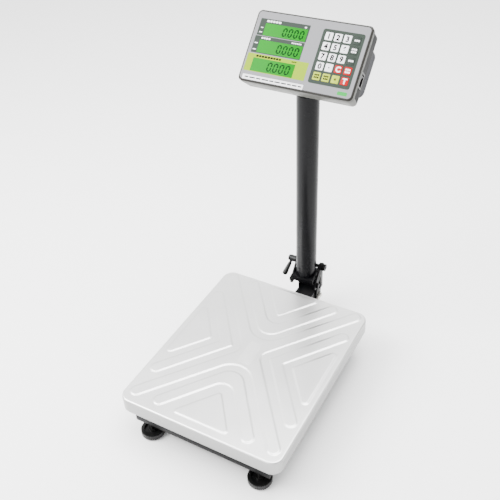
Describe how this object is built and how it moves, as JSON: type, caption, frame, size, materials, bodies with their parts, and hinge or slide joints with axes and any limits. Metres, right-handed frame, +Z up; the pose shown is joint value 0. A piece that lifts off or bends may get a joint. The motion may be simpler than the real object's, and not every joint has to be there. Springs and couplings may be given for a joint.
{
  "type": "platform weighing scale",
  "caption": "Price-computing platform scale: ribbed steel platter on a footed frame, folding column and a tilting head with displays and keypad.",
  "frame": {"origin": "centre of the whole scale's bounding box in plan, on the floor plane under the feet", "axes": "+X to the user's right across the platter, +Y from the user towards the column, +Z up"},
  "size_m": [0.4, 0.625, 0.7995],
  "materials": {
    "stainless": "satin",
    "black_steel": "satin",
    "column_paint": "satin",
    "zinc_steel": "satin",
    "aluminium": "satin",
    "rubber": "matt",
    "foot_plastic": "satin",
    "knob_plastic": "satin",
    "face_grey": "satin",
    "rear_dark": "satin",
    "housing_grey": "satin",
    "film": "satin",
    "window": "gloss",
    "lcd": "gloss",
    "board": "satin",
    "battery_case": "satin",
    "key_white": "satin",
    "key_dark": "satin",
    "key_red": "satin",
    "key_yellow": "satin",
    "switch_black": "gloss"
  },
  "bodies": {
    "base": {"base_frame": "black_steel", "load_cell": "aluminium", "load_cell_spacers": "zinc_steel", "load_cell_bolts": "zinc_steel", "platter_carrier": "black_steel", "platter_buffers": "rubber", "overload_stops": "zinc_steel", "foot_lock_nuts": "zinc_steel", "lower_post": "black_steel", "post_bolts": "zinc_steel", "hinge_ears": "black_steel", "hinge_fasteners": "black_steel", "pivot_bolt": "black_steel"},
    "platter": {"platter_cover": "stainless"},
    "clamp_lever": {"clamp_lever": "knob_plastic"},
    "column": {"column_shoe": "black_steel", "column_tube": "column_paint", "head_bracket": "black_steel", "tilt_bolt": "zinc_steel"},
    "tilt_knob": {"tilt_knob": "knob_plastic"},
    "head": {"head_front_shell": "face_grey", "head_rear_shell": "rear_dark", "rear_housing": "housing_grey", "battery": "battery_case", "face_film": "film", "lcd_windows": "window", "lcd_modules": "lcd", "main_board": "board", "case_screws": "zinc_steel", "switch_frame": "switch_black", "power_inlet": "switch_black"},
    "power_switch": {"power_switch": "switch_black"},
    "foot_pad_front_left": {"foot_pad_front_left": "rubber"},
    "foot_front_left": {"foot_front_left": "foot_plastic"},
    "foot_pad_front_right": {"foot_pad_front_right": "rubber"},
    "foot_front_right": {"foot_front_right": "foot_plastic"},
    "foot_pad_rear_left": {"foot_pad_rear_left": "rubber"},
    "foot_rear_left": {"foot_rear_left": "foot_plastic"},
    "foot_pad_rear_right": {"foot_pad_rear_right": "rubber"},
    "foot_rear_right": {"foot_rear_right": "foot_plastic"},
    "key_1": {"key_1": "key_white"},
    "key_2": {"key_2": "key_white"},
    "key_3": {"key_3": "key_white"},
    "key_print": {"key_print": "key_dark"},
    "key_4": {"key_4": "key_white"},
    "key_5": {"key_5": "key_white"},
    "key_6": {"key_6": "key_white"},
    "key_total": {"key_total": "key_dark"},
    "key_7": {"key_7": "key_white"},
    "key_8": {"key_8": "key_white"},
    "key_9": {"key_9": "key_white"},
    "key_change": {"key_change": "key_dark"},
    "key_0": {"key_0": "key_white"},
    "key_point": {"key_point": "key_white"},
    "key_clear": {"key_clear": "key_red"},
    "key_zero": {"key_zero": "key_red"},
    "key_memory_1": {"key_memory_1": "key_yellow"},
    "key_memory_2": {"key_memory_2": "key_yellow"},
    "key_light": {"key_light": "key_yellow"},
    "key_tare": {"key_tare": "key_red"}
  },
  "joints": [
    {"name": "platter_lift", "type": "slide", "parent": "base", "child": "platter", "axis": [0, 0, -1], "range_m": [-0.15, 0]},
    {"name": "column_fold", "type": "hinge", "parent": "base", "child": "column", "pos_m": [0, 0.25945, 0.154], "axis": [1, 0, 0], "range_deg": [0, 78]},
    {"name": "clamp_lever_turn", "type": "hinge", "parent": "base", "child": "clamp_lever", "pos_m": [-0.045, 0.25945, 0.154], "axis": [1, 0, 0], "range_deg": [-90, 0]},
    {"name": "head_tilt", "type": "hinge", "parent": "column", "child": "head", "pos_m": [0, 0.21646, 0.65701], "axis": [1, 0, 0], "range_deg": [-10, 20]},
    {"name": "tilt_knob_turn", "type": "hinge", "parent": "column", "child": "tilt_knob", "pos_m": [-0.035, 0.21646, 0.65701], "axis": [1, 0, 0], "range_deg": [-180, 180]},
    {"name": "power_switch_rock", "type": "hinge", "parent": "head", "child": "power_switch", "pos_m": [0.1232, 0.21125, 0.7085], "axis": [0, -0.7278, 0.6858], "range_deg": [0, 16]},
    {"name": "foot_travel_front_left", "type": "slide", "parent": "base", "child": "foot_pad_front_left", "axis": [0, 0, 1], "range_m": [-0.012, 0]},
    {"name": "foot_turn_front_left", "type": "hinge", "parent": "foot_pad_front_left", "child": "foot_front_left", "pos_m": [-0.1395, -0.28355, 0], "axis": [0, 0, 1], "range_deg": [-2880, 0]},
    {"name": "foot_travel_front_right", "type": "slide", "parent": "base", "child": "foot_pad_front_right", "axis": [0, 0, 1], "range_m": [-0.012, 0]},
    {"name": "foot_turn_front_right", "type": "hinge", "parent": "foot_pad_front_right", "child": "foot_front_right", "pos_m": [0.1395, -0.28355, 0], "axis": [0, 0, 1], "range_deg": [-2880, 0]},
    {"name": "foot_travel_rear_left", "type": "slide", "parent": "base", "child": "foot_pad_rear_left", "axis": [0, 0, 1], "range_m": [-0.012, 0]},
    {"name": "foot_turn_rear_left", "type": "hinge", "parent": "foot_pad_rear_left", "child": "foot_rear_left", "pos_m": [-0.1395, 0.14845, 0], "axis": [0, 0, 1], "range_deg": [-2880, 0]},
    {"name": "foot_travel_rear_right", "type": "slide", "parent": "base", "child": "foot_pad_rear_right", "axis": [0, 0, 1], "range_m": [-0.012, 0]},
    {"name": "foot_turn_rear_right", "type": "hinge", "parent": "foot_pad_rear_right", "child": "foot_rear_right", "pos_m": [0.1395, 0.14845, 0], "axis": [0, 0, 1], "range_deg": [-2880, 0]},
    {"name": "press_key_1", "type": "slide", "parent": "head", "child": "key_1", "axis": [0, 0.7278, -0.6858], "range_m": [0, 0.0006], "stiffness_N_per_m": 600, "springref_m": -0.0008},
    {"name": "press_key_2", "type": "slide", "parent": "head", "child": "key_2", "axis": [0, 0.7278, -0.6858], "range_m": [0, 0.0006], "stiffness_N_per_m": 600, "springref_m": -0.0008},
    {"name": "press_key_3", "type": "slide", "parent": "head", "child": "key_3", "axis": [0, 0.7278, -0.6858], "range_m": [0, 0.0006], "stiffness_N_per_m": 600, "springref_m": -0.0008},
    {"name": "press_key_print", "type": "slide", "parent": "head", "child": "key_print", "axis": [0, 0.7278, -0.6858], "range_m": [0, 0.0006], "stiffness_N_per_m": 600, "springref_m": -0.0008},
    {"name": "press_key_4", "type": "slide", "parent": "head", "child": "key_4", "axis": [0, 0.7278, -0.6858], "range_m": [0, 0.0006], "stiffness_N_per_m": 600, "springref_m": -0.0008},
    {"name": "press_key_5", "type": "slide", "parent": "head", "child": "key_5", "axis": [0, 0.7278, -0.6858], "range_m": [0, 0.0006], "stiffness_N_per_m": 600, "springref_m": -0.0008},
    {"name": "press_key_6", "type": "slide", "parent": "head", "child": "key_6", "axis": [0, 0.7278, -0.6858], "range_m": [0, 0.0006], "stiffness_N_per_m": 600, "springref_m": -0.0008},
    {"name": "press_key_total", "type": "slide", "parent": "head", "child": "key_total", "axis": [0, 0.7278, -0.6858], "range_m": [0, 0.0006], "stiffness_N_per_m": 600, "springref_m": -0.0008},
    {"name": "press_key_7", "type": "slide", "parent": "head", "child": "key_7", "axis": [0, 0.7278, -0.6858], "range_m": [0, 0.0006], "stiffness_N_per_m": 600, "springref_m": -0.0008},
    {"name": "press_key_8", "type": "slide", "parent": "head", "child": "key_8", "axis": [0, 0.7278, -0.6858], "range_m": [0, 0.0006], "stiffness_N_per_m": 600, "springref_m": -0.0008},
    {"name": "press_key_9", "type": "slide", "parent": "head", "child": "key_9", "axis": [0, 0.7278, -0.6858], "range_m": [0, 0.0006], "stiffness_N_per_m": 600, "springref_m": -0.0008},
    {"name": "press_key_change", "type": "slide", "parent": "head", "child": "key_change", "axis": [0, 0.7278, -0.6858], "range_m": [0, 0.0006], "stiffness_N_per_m": 600, "springref_m": -0.0008},
    {"name": "press_key_0", "type": "slide", "parent": "head", "child": "key_0", "axis": [0, 0.7278, -0.6858], "range_m": [0, 0.0006], "stiffness_N_per_m": 600, "springref_m": -0.0008},
    {"name": "press_key_point", "type": "slide", "parent": "head", "child": "key_point", "axis": [0, 0.7278, -0.6858], "range_m": [0, 0.0006], "stiffness_N_per_m": 600, "springref_m": -0.0008},
    {"name": "press_key_clear", "type": "slide", "parent": "head", "child": "key_clear", "axis": [0, 0.7278, -0.6858], "range_m": [0, 0.0006], "stiffness_N_per_m": 600, "springref_m": -0.0008},
    {"name": "press_key_zero", "type": "slide", "parent": "head", "child": "key_zero", "axis": [0, 0.7278, -0.6858], "range_m": [0, 0.0006], "stiffness_N_per_m": 600, "springref_m": -0.0008},
    {"name": "press_key_memory_1", "type": "slide", "parent": "head", "child": "key_memory_1", "axis": [0, 0.7278, -0.6858], "range_m": [0, 0.0006], "stiffness_N_per_m": 600, "springref_m": -0.0008},
    {"name": "press_key_memory_2", "type": "slide", "parent": "head", "child": "key_memory_2", "axis": [0, 0.7278, -0.6858], "range_m": [0, 0.0006], "stiffness_N_per_m": 600, "springref_m": -0.0008},
    {"name": "press_key_light", "type": "slide", "parent": "head", "child": "key_light", "axis": [0, 0.7278, -0.6858], "range_m": [0, 0.0006], "stiffness_N_per_m": 600, "springref_m": -0.0008},
    {"name": "press_key_tare", "type": "slide", "parent": "head", "child": "key_tare", "axis": [0, 0.7278, -0.6858], "range_m": [0, 0.0006], "stiffness_N_per_m": 600, "springref_m": -0.0008}
  ],
  "couplings": [
    {"joint": "foot_travel_front_left", "follows": "foot_turn_front_left", "m_per_rad": 0.00023873},
    {"joint": "foot_travel_front_right", "follows": "foot_turn_front_right", "m_per_rad": 0.00023873},
    {"joint": "foot_travel_rear_left", "follows": "foot_turn_rear_left", "m_per_rad": 0.00023873},
    {"joint": "foot_travel_rear_right", "follows": "foot_turn_rear_right", "m_per_rad": 0.00023873}
  ]
}
